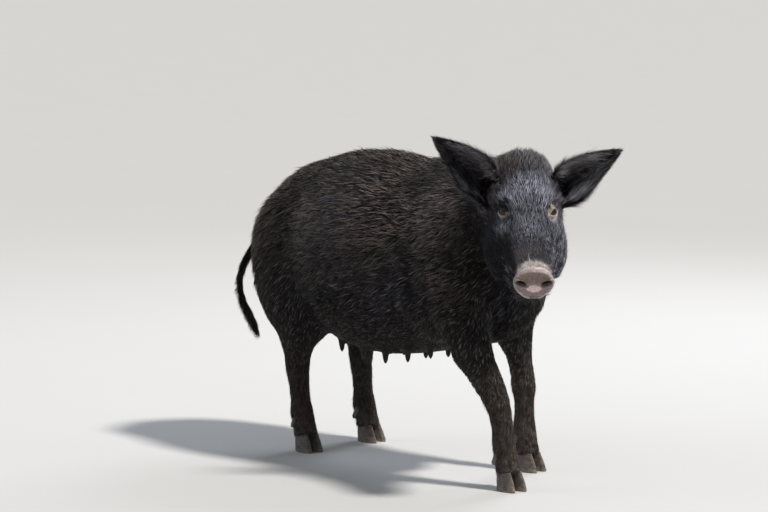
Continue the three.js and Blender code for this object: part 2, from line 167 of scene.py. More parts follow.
def face_centres(piece):
    return read(piece.data.polygons, "center")


def mesh_edges(piece):
    return read(piece.data.edges, "vertices", 2, np.int32).T


def corners(piece):
    """The piece's triangles, as rows of vertex numbers."""
    piece.data.calc_loop_triangles()
    return read(piece.data.loop_triangles, "vertices", 3, np.int32)


def reshape(piece, step, chosen=None, **settings):
    """Runs a mesh operator on the chosen faces of a piece, or on all of them."""
    pick(piece)
    me = piece.data
    chosen = np.ones(len(me.polygons), bool) if chosen is None else chosen
    me.vertices.foreach_set("select", np.zeros(len(me.vertices), bool))
    me.edges.foreach_set("select", np.zeros(len(me.edges), bool))
    me.polygons.foreach_set("select", chosen)
    bpy.ops.object.mode_set(mode="EDIT")
    bpy.ops.mesh.select_mode(type="FACE")
    step(**settings)
    bpy.ops.object.mode_set(mode="OBJECT")


def node_copy(name):
    """A copy of a CAD node without the node's marks, added to what is selected."""
    piece = NODES[name].copy()
    piece.data = NODES[name].data.copy()
    piece.data.materials.clear()
    for key in list(piece.keys()):
        del piece[key]
    piece.parent = None
    bpy.context.collection.objects.link(piece)
    piece.select_set(True)
    bpy.context.view_layer.objects.active = piece
    return piece


def grow_together(piece, voxel):
    """Merges a piece's loose triangles and grows them into one closed mesh."""
    reshape(piece, bpy.ops.mesh.remove_doubles, threshold=1e-5)
    apply(piece, "REMESH", mode="VOXEL", voxel_size=voxel, use_smooth_shade=True)


def note(piece, name, values):
    """Writes values on the piece's points for its material to read."""
    kind = "FLOAT" if values.ndim == 1 else "FLOAT_COLOR"
    layer = piece.data.attributes.new(name, kind, "POINT")
    if kind == "FLOAT":
        layer.data.foreach_set("value", values.astype(np.float32))
    else:
        rgba = np.ones((len(values), 4), np.float32)
        rgba[:, :3] = values
        layer.data.foreach_set("color", rgba.ravel())


# ---------- skin

TRUNK, NECK, HEAD, SNOUT, EAR_RIGHT, EAR_LEFT, TAIL, UPPER, LOWER = range(9)
ZONES = {"trunk": TRUNK, "neck": NECK, "head": HEAD, "lower_jaw": HEAD, "snout_disc": SNOUT, "tail": TAIL}
ZONES.update(ear_right=EAR_RIGHT, ear_left=EAR_LEFT)
for leg in LEGS:
    ZONES[leg + "_upper"] = UPPER
    ZONES[leg + "_lower"] = LOWER
FACE = (HEAD, SNOUT)
BODY = (TRUNK, NECK, UPPER)
SKIN_VOXEL = 0.0034


def nearest_zone():
    """A tree of the solids of flesh, and the zone of each of its faces."""
    points, faces, zone = [], [], []
    start = 0
    for name in FLESH:
        co = places(NODES[name])
        tri = corners(NODES[name]) + start
        start += len(co)
        points += co.tolist()
        faces += tri.tolist()
        zone += [ZONES[name]] * len(tri)
    return BVHTree.FromPolygons(points, faces), np.array(zone)


FLESH_TREE, FACE_ZONE = nearest_zone()


def zone_of(points):
    found = [FLESH_TREE.find_nearest(p)[2] for p in points.tolist()]
    return FACE_ZONE[found]


def disc_rim(across, up):
    """How far out on the flat of the snout points are: 1 at its edge."""
    half = DISC["half"] * (1 + DISC["taper"] * np.clip(up / DISC["tall"], -1, 1))
    return np.hypot(across / half, up / DISC["tall"])


def disc_frame(q):
    """Points of the head's frame as across, up and out of the flat of the snout."""
    d = q - DISC_AT
    out = np.array([math.cos(DISC_LEAN), 0, -math.sin(DISC_LEAN)])
    up = np.array([math.sin(DISC_LEAN), 0, math.cos(DISC_LEAN)])
    return d[:, 1], d @ up, d @ out


def plug(at, size):
    """A smooth body in the head's frame that fills a hollow of the solids, which is shaped finer later."""
    bpy.ops.mesh.primitive_uv_sphere_add(segments=24, ring_count=16, radius=1)
    body = bpy.context.object
    place = Matrix.Translation(Vector(out_of_head(at[None])[0]))
    body.matrix_world = place @ HEAD_TURN.to_4x4() @ Matrix.Diagonal((*size, 1))
    return body


def flesh_in_one():
    """The solids of flesh grown into one skin."""
    deselect()
    plugs = []
    for side in (-1, 1):
        nostril = DISC_AT + np.array([-0.0065, side * NOSTRIL["across"], NOSTRIL["up"]])
        plugs.append(plug(nostril, (0.0125, 0.010, 0.0075)))
        plugs.append(plug(EYE_AT * np.array([1, side, 1]), (0.0165, 0.0165, 0.0165)))
    deselect()
    for name in FLESH:
        node_copy(name)
    for body in plugs:
        body.select_set(True)
    bpy.ops.object.join()
    whole = bpy.context.object
    whole.name = whole.data.name = "skin"
    grow_together(whole, SKIN_VOXEL)
    return whole


TEATS = {"pairs": 5, "from": -0.2499, "step": 0.078, "across": 0.064, "middle": 0.0314}


def teat_reach(p):
    """How far points under the belly are from the middle of the nearest teat."""
    x = p[:, 0] - TEATS["from"]
    x = x - TEATS["step"] * np.clip(np.round(x / TEATS["step"]), 0, TEATS["pairs"] - 1)
    y = np.abs(p[:, 1] - TEATS["middle"]) - TEATS["across"]
    return np.where(p[:, 2] < 0.30, np.hypot(x, y), 9.0)


# The trunk is thinned most, its teats not at all, and the head stays fine.
skin = flesh_in_one()
for parts, share in (((TRUNK, UPPER), 0.075), ((NECK,), 0.16), ((LOWER,), 0.42)):
    centre = face_centres(skin)
    chosen = np.isin(zone_of(centre), parts) & (teat_reach(centre) > 0.022)
    reshape(skin, bpy.ops.mesh.decimate, chosen, ratio=share)

# Facets are smoothed away by zone, most on trunk and neck and least on snout and tail.
zone = zone_of(places(skin))
EVEN = np.array([1.0, 1.0, 0.9, 0.25, 0.5, 0.5, 0.3, 0.9, 0.45])
teat = 1 - ramp(teat_reach(places(skin)), 0.009, 0.022)
even = EVEN[zone] * (1 - 0.85 * teat)
apply(skin, "SMOOTH", factor=0.5, iterations=16, vertex_group=weights(skin, "even", even))


def shorter_teats(p):
    """Draws each teat in a little and tapers it."""
    reach = teat_reach(p)
    count = np.clip(np.round((p[:, 0] - TEATS["from"]) / TEATS["step"]), 0, TEATS["pairs"] - 1)
    own = np.where(p[:, 1] > TEATS["middle"], 10, 0) + count
    z = p[:, 2].copy()
    flat = p[:, :2].copy()
    for number in np.unique(own[reach < 0.02]):
        mine = own == number
        root = p[mine & (reach > 0.015) & (reach < 0.022), 2].mean()
        part = mine & (reach < 0.015) & (z < root)
        fall = (root - z[part]) / max(root - z[part].min(), 1e-4)
        middle_of = np.array([TEATS["from"] + TEATS["step"] * (number % 10), np.median(p[part, 1])])
        flat[part] = middle_of + (flat[part] - middle_of) * (1.05 - 0.45 * fall)[:, None]
        z[part] = root + (z[part] - root) * 0.86
    return np.column_stack([flat, z])


def spread_out(values, edges, rounds):
    """Values on points, evened with their neighbours."""
    a, b = edges
    flat = values if values.ndim > 1 else values[:, None]
    count = np.bincount(a, minlength=len(flat)) + np.bincount(b, minlength=len(flat))
    count = np.maximum(count, 1)
    for _ in range(rounds):
        near = [np.bincount(a, row[b], len(row)) + np.bincount(b, row[a], len(row)) for row in flat.T]
        flat = 0.4 * flat + 0.6 * np.stack(near, 1) / count[:, None]
    return flat if values.ndim > 1 else flat[:, 0]


# What the smoothing drew in is given back, and the skin then sinks by the depth of the coat over it.
DEPTH = np.array([6.5, 6.5, 2.4, 0.0, 0.6, 0.6, 1.5, 5.5, 2.0]) * 0.001
skin_at = places(skin)
skin_out = normals(skin)
on_solid = np.array([FLESH_TREE.find_nearest(p)[0] for p in skin_at.tolist()])
lost = np.sum((on_solid - skin_at) * skin_out, 1)
depth = DEPTH[zone] * (0.3 + 0.7 * ramp(skin_at[:, 2], 0.03, 0.20)) * (1 - teat)
edges = mesh_edges(skin)
move = spread_out(np.clip(lost, -0.006, 0.012), edges, 6) - spread_out(depth, edges, 12)
put(skin, shorter_teats(skin_at + skin_out * move[:, None]))

# Finer faces where lids, nostrils and lips are shaped.
LOOKS = {side: unit(EYE_LOOKS * np.array([1, side, 1])) for side in (-1, 1)}
EYES = {side: EYE_AT * np.array([1, side, 1]) for side in (-1, 1)}
MOUTH = np.array([[0.205, -0.1055], [0.150, -0.105], [0.088, -0.098], [0.062, -0.112]])


def from_stretch(points, a, b):
    """How far points are from a straight stretch, and how far along it, from 0 to 1."""
    along = np.clip(((points - a) @ (b - a)) / ((b - a) @ (b - a)), 0, 1)
    return np.linalg.norm(points - a - along[:, None] * (b - a), axis=1), along


def from_mouth(q):
    """How far points of the head are from the line of the lips, seen from the side."""
    return np.min([from_stretch(q[:, [0, 2]], a, b)[0] for a, b in zip(MOUTH[:-1], MOUTH[1:])], 0)


def eye_plane(q, side):
    """Points of the head's frame as along the slit, up, and out of an eye."""
    look = LOOKS[side]
    up = unit(np.cross(look, np.cross([0.22, 0, 0.98], look)))
    slit = np.cross(up, look) * side
    d = q - EYES[side]
    return d @ slit, d @ up, d @ look


def eye_reach(q):
    reach = np.full(len(q), 9.0)
    for side in (-1, 1):
        u, w, t = eye_plane(q, side)
        reach = np.minimum(reach, np.where(t > -0.006, np.hypot(u, w), 9.0))
    return reach


def nostril_reach(q):
    """How far out from the middle of a nostril points are: 1 at its edge."""
    across, up, out = disc_frame(q)
    side = np.abs(across) - NOSTRIL["across"]
    rise = up - NOSTRIL["up"] - NOSTRIL["rise"] * side
    return np.where(out > -0.02, np.hypot(side / NOSTRIL["width"], rise / NOSTRIL["height"]) * 2, 9.0)


def refine(chosen):
    """Halves the chosen faces of the skin."""
    reshape(skin, bpy.ops.mesh.subdivide, chosen, number_cuts=1)


q = into_head(face_centres(skin))
refine((eye_reach(q) < 0.030) | (q[:, 0] > 0.165))
q = into_head(face_centres(skin))
lips = (from_mouth(q) < 0.006) & (q[:, 0] > 0.05)
refine((eye_reach(q) < 0.021) | (nostril_reach(q) < 1.9) | lips)
q = into_head(face_centres(skin))
refine(eye_reach(q) < 0.0145)


# ---------- lids, snout, lips and folds

SLIT = {"half": 0.0100, "upper": 0.0062, "lower": 0.0044}
LID = 0.0016  # thickness of a lid's edge
BRIM = 0.8 * EYE_RADIUS  # past it the lids run straight on from the ball

# Folds and rolls of the upper lid (1) and the lower (-1): height, distance from the opening, and width.
LID_FOLDS = (
    (1, -0.0016, 0.0058, 0.0011),
    (1, 0.0013, 0.0085, 0.0022),
    (-1, -0.0011, 0.0056, 0.0010),
    (-1, 0.0010, 0.0034, 0.0014),
    (-1, -0.0009, 0.0100, 0.0014),
)


def slit_edge(u, w):
    """How far a point beside an eye is outside the opening between the lids; negative inside it."""
    x = np.clip(u / SLIT["half"], -1, 1)
    arch = np.maximum(1 - np.abs(x) ** 2.2, 0)
    upper = w - SLIT["upper"] * arch ** 0.8
    lower = -w - SLIT["lower"] * arch ** 0.9
    past = np.maximum(np.abs(u) - SLIT["half"], 0)
    outside = np.maximum(upper, lower)
    return np.where(past > 0, np.hypot(past, w), outside)


def shape_lids(q):
    """Moves the points round each eye onto lids that wrap the eyeball, with folds over and under it."""
    out = q.copy()
    for side in (-1, 1):
        u, w, t = eye_plane(q, side)
        r = np.hypot(u, w)
        near = (r < 0.031) & (t > -0.010)
        edge = slit_edge(u, w)
        ball = np.sqrt(np.maximum(EYE_RADIUS**2 - r**2, 0))
        at_brim = ball[np.argmin(np.abs(r - BRIM))]
        ball = np.where(r < BRIM, ball, at_brim - (r - BRIM) * 0.9)
        lid = ball + LID + 0.0012 * ramp(edge, 0.0, 0.004)
        for which, height, at, width in LID_FOLDS:
            lid += height * hump(edge, at, width) * (w * which > 0)
        inside = ball - 0.0022
        target = inside + (lid - inside) * ramp(edge, -0.0007, 0.0005)
        share = np.where(near, 1 - ramp(r, 0.0135, 0.027), 0)
        out += (share * (target - t))[:, None] * LOOKS[side]
    return out


def shape_snout(q):
    """Nostrils, the rolled rim and the swollen middle of the flat of the snout."""
    across, up, out = disc_frame(q)
    front = ramp(out, -0.006, -0.001)
    away = nostril_reach(q)
    rim = disc_rim(across, up)
    push = -NOSTRIL["depth"] * np.sqrt(np.maximum(1 - np.minimum(away, 1) ** 2, 0)) ** 0.7
    push += 0.0018 * hump(away, 1.35, 0.24)
    push += 0.0016 * hump(rim, 0.90, 0.08)
    push -= 0.0030 * hump(up, 0.020, 0.008) * (1 - ramp(np.abs(across), 0.020, 0.036))
    push += 0.0034 * hump(up, -0.013, 0.012) * hump(across, 0, 0.019)
    push -= 0.0010 * hump(across, 0, 0.0020) * ramp(-up, 0.016, 0.026)
    wrinkle = np.sin(up * 2 * math.pi / 0.0065 + 1.6 * swell(q, 0.03, 6))
    push += 0.0005 * wrinkle * ramp(rim, 0.35, 0.75) * (away > 1.15)
    lean = np.array([math.cos(DISC_LEAN), 0, -math.sin(DISC_LEAN)])
    return q + (push * front)[:, None] * lean


def groove(d, depth, width, roll=0.4):
    """The profile of a crease: a cut with a soft roll of flesh on each side."""
    return depth * (roll * hump(d, 2.2 * width, 1.1 * width) - hump(d, 0, width))


def shape_face(q, n):
    """Lips, the creases over the snout, the cheek's edge and the soft brow, as moves along the normals."""
    x = q[:, 0]
    side = np.abs(q[:, 1])
    move = groove(from_mouth(q), 0.0042, 0.0016, 0.45) * ramp(x, 0.055, 0.075)
    top = ramp(n[:, 2], -0.2, 0.6)
    ripple = np.sin((x + 0.25 * side) * 2 * math.pi / 0.0125 + 1.3 * swell(q, 0.05, 5))
    move += 0.0004 * ripple * ramp(x, 0.110, 0.165) * (1 - ramp(x, 0.178, 0.190)) * (0.35 + 0.65 * top)
    move -= 0.0016 * hump(x - 0.012 * top, 0.183, 0.0032)
    return move


def crease(p, a, b, depth, width):
    """A fold in the flesh along the way from a to b."""
    d, along = from_stretch(p, np.array(a), np.array(b))
    ends = np.sin(np.pi * np.clip(along * 0.9 + 0.05, 0, 1))
    return groove(d, depth, width, 0.35) * ends


# Creases of the flesh: two ends, depth and width. Those of the body lie on both sides of its middle plane.
BODY_MIDDLE = 0.031
BODY_FOLDS = (
    ((0.115, 0.135, 0.37), (0.120, 0.165, 0.53), 0.007, 0.016),
    ((-0.245, 0.12, 0.33), (-0.215, 0.165, 0.47), 0.008, 0.018),
    ((-0.470, 0.05, 0.42), (-0.455, 0.10, 0.33), 0.005, 0.016),
)
NECK_FOLDS = (
    ((0.330, -0.080, 0.42), (0.335, -0.105, 0.62), 0.006, 0.016),
    ((0.290, -0.085, 0.44), (0.290, -0.110, 0.64), 0.004, 0.014),
)


def folds(p):
    """Folds behind the elbows, before the thighs, under the tail and across the neck."""
    move = sum(crease(p, *fold) for fold in NECK_FOLDS)
    for side in (-1, 1):
        even = (p - [0, BODY_MIDDLE, 0]) * [1, side, 1]
        move += sum(crease(even, *fold) for fold in BODY_FOLDS)
    return move


p = places(skin)
on_body = np.isin(zone_of(p), BODY)
put(skin, p + (folds(p) * on_body)[:, None] * normals(skin))
q = into_head(places(skin))
n = normals(skin) @ TURN
on_head = np.isin(zone_of(places(skin)), FACE)
q = np.where(on_head[:, None], q + shape_face(q, n)[:, None] * n, q)
q = np.where(on_head[:, None], shape_snout(q), q)
q = np.where(on_head[:, None], shape_lids(q), q)
put(skin, out_of_head(q))
skin.data.shade_smooth()
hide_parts(*FLESH)
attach(skin, "root")

# ---------- lie of the coat

skin_at = places(skin)
skin_out = normals(skin)
skin_zone = zone_of(skin_at)
in_head = into_head(skin_at)


def ear_way(name):
    """The ear's base, its way to the tip, the way that it opens, and its length."""
    side = -1 if name == "ear_right" else 1
    co = places(NODES[name])
    middle_at = co.mean(0)
    way = np.linalg.svd(co - middle_at, full_matrices=False)[2][0]
    way = way if way @ TURN[:, 1] * side > 0 else -way
    base = middle_at + way * ((co - middle_at) @ way).min()
    opens = TURN @ unit(np.array([0.84, side * 0.26, 0.47]))
    opens = unit(opens - way * (opens @ way))
    return base, way, opens, ((co - base) @ way).max()


EAR_WAYS = {ZONES[name]: ear_way(name) for name in EARS}


def rows(size, *columns):
    """Columns, of which some are single numbers, side by side."""
    return np.stack([np.broadcast_to(column, size) for column in columns], 1)


def lie_of_coat(p, n, zone):
    """Which way the hair lies at points of the skin, before it is laid flat on it."""
    size = len(p)
    q = into_head(p)
    m = n @ TURN
    flank = 1 - np.abs(n[:, 2])
    rump = ramp(-p[:, 0], 0.28, 0.50)
    low = ramp(-p[:, 2], -0.50, -0.28)
    top = ramp(m[:, 2], 0.0, 0.7)
    front = ramp(m[:, 0], 0.05, 0.55)
    fan = 1.0 * np.clip(q[:, 1] / 0.035, -1, 1) * front * ramp(q[:, 2], -0.01, 0.03)
    droop = 0.45 * (1 - top) * (1 - front) * ramp(-q[:, 0], -0.10, 0.05)
    face = rows(size, -1, fan, 0.3 * top + 1.5 * front - droop)
    for side in (-1, 1):
        off = q - EYES[side]
        far = np.linalg.norm(off, axis=1)
        face += 1.6 * (hump(far, 0.010, 0.013) * (far < 0.04))[:, None] * unit(off)
    ways = {
        TRUNK: rows(size, -1 + 0.55 * rump - 0.25 * low, 0, -(0.36 + 1.2 * rump) * flank - 0.35 * low),
        NECK: rows(size, -1, 0, -0.75 * flank),
        UPPER: rows(size, -0.45, 0, -1),
        LOWER: rows(size, -0.22, 0, -1),
        TAIL: rows(size, -0.35, -0.2, -1),
        HEAD: face @ TURN.T,
        SNOUT: face @ TURN.T,
    }
    for number, (base, along, opens, reach) in EAR_WAYS.items():
        ways[number] = np.tile(along, (size, 1))
    return np.stack([ways[number] for number in range(9)])[zone, np.arange(size)]


EDGES = mesh_edges(skin)
lie = lie_of_coat(skin_at, skin_out, skin_zone)
lie = spread_out(unit(lie), EDGES, 24)
lie = unit(lie - skin_out * np.sum(lie * skin_out, 1, keepdims=True))


def facing_out(n, zone):
    """How squarely points of the ears face the way that the ear opens; elsewhere -1."""
    facing = np.full(len(n), -1.0)
    for number, (base, along, opens, reach) in EAR_WAYS.items():
        facing = np.where(zone == number, n @ opens, facing)
    return facing


ear = np.isin(skin_zone, (EAR_RIGHT, EAR_LEFT))
facing = facing_out(skin_out, skin_zone)
inside = spread_out(ramp(facing, -0.05, 0.35), EDGES, 1)
rim = 1 - ramp(np.abs(facing), 0.25, 0.7)


def ear_guard(p, n, zone):
    """Where long hairs stand over the opening of each ear, and which way they lie."""
    share = np.zeros(len(p))
    way = np.zeros_like(p)
    for number, (base, along, opens, reach) in EAR_WAYS.items():
        upper = TURN[:, 2] + 0.4 * (1 if number == EAR_RIGHT else -1) * TURN[:, 1]
        across = np.cross(opens, along)
        across = across if across @ upper > 0 else -across
        d = p - base
        s = d @ along / reach
        t = d @ across / 0.045
        on_ear = (zone == number) * ramp(t, 0.15, 0.75) * (1 - ramp(s, 0.55, 0.85))
        on_ear = on_ear * ramp(n @ opens, -0.5, 0.1)
        near = hump(np.linalg.norm(d, axis=1), 0.0, 0.042)
        on_brow = (zone == HEAD) * near * hump(s, 0.05, 0.16) * ramp(n @ opens, 0.0, 0.5)
        here = np.maximum(on_ear, 1.3 * on_brow)
        share = np.maximum(share, here)
        lean = unit(0.75 * along - (0.55 + 0.25 * t[:, None]) * across + 0.30 * opens)
        way = np.where((here > 0)[:, None], lean, way)
    return share, way


guard, guard_way = ear_guard(skin_at, skin_out, skin_zone)

# Looks of a lock by zone, in the order of the zones: length and width in mm, lift in degrees, and how
# crowded the locks are.
LENGTH = np.array([40, 40, 20, 5, 12, 12, 18, 33, 14.0])
WIDTH = np.array([1.75, 1.75, 1.1, 0.7, 0.8, 0.8, 1.0, 1.6, 1.0])
LIFT = np.array([12, 12, 10, 8, 10, 10, 6, 11, 8.0])
CROWD = np.array([1.0, 1.1, 3.6, 0.0, 3.0, 3.0, 2.6, 1.25, 2.4])

face = np.isin(skin_zone, FACE)
x, y, z = in_head.T
length = LENGTH[skin_zone]
width = WIDTH[skin_zone]
lift = LIFT[skin_zone]
crowd = CROWD[skin_zone]
muzzle = ramp(x, 0.02, 0.15)
front = ramp(skin_out @ TURN[:, 0], -0.15, 0.45)
length = np.where(face, 24 - 7 * front - 16 * muzzle * (1 - front) - 11 * muzzle * front, length)
width = np.where(face, 1.1 - 0.45 * front - 0.40 * muzzle * (1 - 0.7 * front), width)
crowd = np.where(face, 2.0 + 1.6 * front + 2.4 * muzzle, crowd)
lift = np.where(face, 9 - 4 * front, lift)
nape = face * ramp(-x, 0.03, 0.105)
scruff = (skin_zone == NECK) * (1 - ramp(-x, 0.095, 0.185))
length += 6 * nape - 13 * scruff
width += 0.45 * nape - 0.5 * scruff
crowd = crowd * (1 - 0.35 * nape) + 0.8 * scruff
lift += 2 * nape
around_eye = eye_reach(in_head)
off_eye = around_eye - 0.0125 - 0.003 * (y > 0)
length = np.minimum(length, 3.5 + 900 * np.maximum(off_eye, 0))
crowd *= ramp(off_eye, 0, 0.0085)
crest = (skin_zone <= NECK) * ramp(skin_out[:, 2], 0.75, 0.97) * ramp(skin_at[:, 0], -0.35, 0.15)
belly = (skin_zone == TRUNK) * ramp(-skin_out[:, 2], 0.55, 0.9)
low = np.isin(skin_zone, BODY) * ramp(-skin_at[:, 2], -0.47, -0.28)
length = (length + 14 * crest - 15 * belly) * (1 - 0.55 * low)
lift += 7 * crest - 4 * low - 4 * belly
crowd *= (1 - 0.35 * belly) * ramp(teat_reach(skin_at), 0.013, 0.024)
root_share = np.zeros(len(skin_at))
for number, (base, along, opens, reach) in EAR_WAYS.items():
    to_tip = ramp((skin_at - base) @ along / reach, 0.1, 0.9)
    root_share = np.where(skin_zone == number, 1 - to_tip, root_share)
length = np.where(ear, 9 + (6 + 12 * root_share) * inside + 8 * root_share * rim + 6 * root_share, length)
width = np.where(ear, 0.85 - 0.2 * inside, width)
lift = np.where(ear, 9 + 12 * inside * root_share + 8 * rim, lift)
crowd = np.where(ear, 3.4 - 1.9 * inside + 1.5 * rim, crowd)
foot = ramp(-skin_at[:, 2], -0.14, -0.04)
shank = skin_zone == LOWER
length = np.where(shank, 17 - 6 * foot + 5 * hump(skin_at[:, 2], 0.045, 0.010), length)
on_disc = face * ramp(disc_frame(in_head)[2], -0.011, -0.006)
crowd *= (1 - on_disc) * ~(shank & (skin_at[:, 2] < 0.031))
LOOK = spread_out(np.stack([length, width, lift], 1), EDGES, 4)
wild = spread_out(np.where(face | ear, nape, 1.0), EDGES, 8)
# How locks clump, spread and sway.
MANNER = np.stack([0.05 + 0.35 * wild, 0.07 + 0.03 * wild, 0.35 + 0.65 * wild], 1)


def marks(p, n, zone):
    """The sow's markings: rust on back and muzzle, mud on the legs, bare pale skin by the eyes, with
    painted light in them: rust brightest where the back faces up, as painted sunlight; the patch by the
    left eye larger and brighter as painted sunlight, the right one's dimmer as painted shade; pale fuzz on
    top of the snout as a painted highlight.
    """
    q = into_head(p)
    x, y, z = q.T
    up = n[:, 2]
    tall = p[:, 2]
    head = np.isin(zone, FACE)
    # Painted sunlight: the rust is strongest where the back and nape face up and stand high, as a sunlit
    # highlight, and fades down the flanks.
    back = ramp(up, -0.35, 0.50) * ramp(tall, 0.33, 0.62)
    body = (0.10 + 0.90 * back) * (0.75 + 0.35 * swell(p, 0.16, 3)) * np.isin(zone, BODY)
    band = hump(x, 0.160, 0.020) * ramp(z, -0.070, -0.035) * (zone == HEAD)
    rust_and_sunlight = np.max([
        body * (1 - 0.45 * (1 - ramp(-x, 0.09, 0.22)) * (zone == NECK)),
        0.45 * ramp(-tall, -0.34, -0.10),
        band * (0.55 + 0.25 * swell(p, 0.02, 11)) * hump(y, -0.010, 0.034),
        0.55 * head * hump(x, 0.075, 0.016) * hump(y, -0.026, 0.014),
        0.42 * head * ramp(-x, 0.035, 0.10) * ramp(up, -0.4, 0.5),
    ], 0)
    splash = 0.5 + 0.5 * swell(p * np.array([1, 1, 0.4]), 0.028, 9)
    fore = ramp(p[:, 0], 0.05, 0.16)
    mud = ramp(-tall, -0.36, -0.14) * (0.10 + 0.22 * splash + 0.22 * fore)
    mud = np.maximum(mud, (0.35 + 0.25 * splash) * ramp(-tall, -0.13, -0.04))
    # Painted light by the eyes: the bare patch by the sow's left eye is larger and brighter as painted
    # sunlight, the right one smaller and dimmer as painted shade, and both are dimmed over the eye as
    # painted shade under the brow.
    reach = eye_reach(q) + 0.0035 * swell(p, 0.011, 12)
    low_front = ramp(-z + 0.5 * (x - EYE_AT[0]), -0.006, 0.006)
    wide = np.where(y > 0, 0.0105 + 0.0125 * low_front, 0.0045 + 0.010 * low_front)
    bare_lit_and_shaded = np.where(y > 0, 1.0, 0.65) * head * (1 - ramp(reach, wide, wide + 0.007))
    bare_lit_and_shaded *= 1 - np.where(y > 0, 0.45, 0.75) * ramp(z, 0.003, 0.009)
    # Pale fuzz on top of the snout, whitened as a painted highlight.
    high, out = disc_frame(q)[1:]
    fuzz_and_highlight = hump(out, -0.008, 0.0095) * ramp(high, 0.004, 0.030) * (0.8 + 0.5 * swell(p, 0.012, 13))
    return np.clip(np.stack([rust_and_sunlight, mud, np.maximum(bare_lit_and_shaded, fuzz_and_highlight * head)], 1), 0, 1)


def lid_edge(q):
    """1 on the dark margin of the lids, next to each eye."""
    edge = np.full(len(q), 9.0)
    for side in (-1, 1):
        u, w, t = eye_plane(q, side)
        edge = np.where((np.hypot(u, w) < 0.016) & (t > 0), np.minimum(edge, slit_edge(u, w)), edge)
    return 1 - ramp(edge, 0.0010, 0.0019)


def snout_marks(p):
    """On the flat of the snout and over it: dusky upper half and nostril walls as painted shade, pink
    patch, and pale rim, whitened on top as a painted highlight.
    """
    q = into_head(p)
    across, up, out = disc_frame(q)
    flat = ramp(out, -0.020, -0.008)
    rim = disc_rim(across, up)
    # Dusk: the upper half darkened as painted shade of the hollow under the rim, and the nostrils' walls as
    # painted shade.
    dusk = flat * ramp(up, 0.000, 0.007) * (1 - ramp(rim, 0.78, 0.95)) + flat * (nostril_reach(q) < 0.9)
    patch = np.hypot(across / 0.0165, (up + 0.0082) / 0.0085) + 0.12 * swell(p, 0.008, 15)
    pink = flat * (1 - ramp(patch, 0.62, 1.15))
    # The pale band over the top of the snout is hair whitened as a painted highlight.
    over = hump(out, -0.006, 0.0065) * ramp(up, 0.012, 0.036)
    lower = hump(rim, 0.86, 0.05) * ramp(-up, 0.004, 0.018)
    pale = np.maximum(flat * (lower * 0.8 + 0.15 * hump(rim, 0.97, 0.07)), 0.8 * over)
    pale = pale * (0.75 + 0.35 * swell(p, 0.010, 14))
    return np.clip(np.stack([dusk, pink * 1.15, pale], 1), 0, 1)


def silver(p, n):
    """Painted sheen among the black: pale bluish tips that stand for sky reflected on the wet hair of brow,
    bridge, cheek, ears and the sides of the body.
    """
    x, y = into_head(p).T[:2]
    up = n @ TURN[:, 2]
    brow = hump(x - 0.35 * np.abs(y), -0.006, 0.030) * ramp(up, -0.1, 0.5)
    brow *= 1 - ramp(np.abs(y), 0.050, 0.085)
    bridge = hump(x, 0.085, 0.032) * hump(y, 0.004, 0.022) * ramp(up, 0.0, 0.6)
    # Painted light: pale tips on the sow's sunlit left cheek, and more over the head where it faces up.
    cheek = 1.6 * ramp(y, 0.020, 0.045) * ramp(0.5 + 0.5 * swell(p, 0.016, 35), 0.35, 0.9)
    on_head = 0.14 + 0.42 * ramp(up, 0.2, 0.7) + 2.3 * brow + 3.0 * bridge + cheek
    on_head *= 1 - 0.85 * ramp(-x, 0.025, 0.095)
    body = 0.04 + 0.09 * swell(p, 0.22, 33)
    return np.clip(np.select([face, ear], [on_head, 0.25 + 0.5 * rim], body), 0, 3.2)


# The sheen is painted reflection of the sky on the wet coat; whiskers and ear hairs take real pale tips
# through the same channel.
skin_marks = spread_out(marks(skin_at, skin_out, skin_zone), EDGES, 2)
skin_sheen_and_pale_tips = spread_out(silver(skin_at, skin_out), EDGES, 2)
note(skin, "marks", skin_marks)
note(skin, "silver", skin_sheen_and_pale_tips)
note(skin, "snout", snout_marks(skin_at))
note(skin, "disc", ramp(disc_frame(in_head)[2], -0.018, -0.010) * face)
note(skin, "lash", lid_edge(in_head))
# Painted shade: the inside of each nostril is darkened to near black.
note(skin, "hole", face * (1 - ramp(nostril_reach(in_head), 0.72, 1.0)))
part_of = np.stack([face | ear, skin_zone >= TAIL, skin_zone <= NECK], 1)
note(skin, "part", spread_out(part_of.astype(float), EDGES, 3))

# ---------- coat


def patch_map(tri):
    """An unwrap of a patch of the skin: a place on it for each corner of its triangles."""
    used, index = np.unique(tri, return_inverse=True)
    me = bpy.data.meshes.new("patch")
    me.from_pydata(skin_at[used].tolist(), [], index.reshape(-1, 3).tolist())
    patch = bpy.data.objects.new("patch", me)
    bpy.context.collection.objects.link(patch)
    me.uv_layers.new(name="OFBake")
    reshape(patch, bpy.ops.uv.smart_project, angle_limit=math.radians(70), island_margin=0.004)
    uv = read(me.uv_layers["OFBake"].uv, "vector", 2)
    bpy.data.objects.remove(patch)
    bpy.data.meshes.remove(me)
    return uv.reshape(-1, 3, 2)


# A lock: its right edge, ridge and left edge at each ring of points, then its kinds, each with how far
# along it each point is, where that point lies on its patch of the map, and its faces.
RING = np.array([[-1.0, 0.0], [0.0, 1.0], [1.0, 0.0]])
BENT = {
    "along": [0, 0, 0, 0.5, 0.5, 0.5, 1],
    "map": [[-1, -1], [0, -0.6], [1, -1], [-1, 0.2], [0, 0.4], [1, 0.2], [0, 1]],
    "faces": [[2, 5, 3, 0], [0, 3, 4, 1], [1, 4, 5, 2], [5, 6, 3], [3, 6, 4], [4, 6, 5], [0, 1, 2]],
}
STRAIGHT = {
    "along": [0, 0, 0, 1],
    "map": [[-1, -1], [0, -0.6], [1, -1], [0, 1]],
    "faces": [[2, 3, 0], [0, 3, 1], [1, 3, 2], [0, 1, 2]],
}
PATCH = 0.0015  # half of a lock's patch on the map


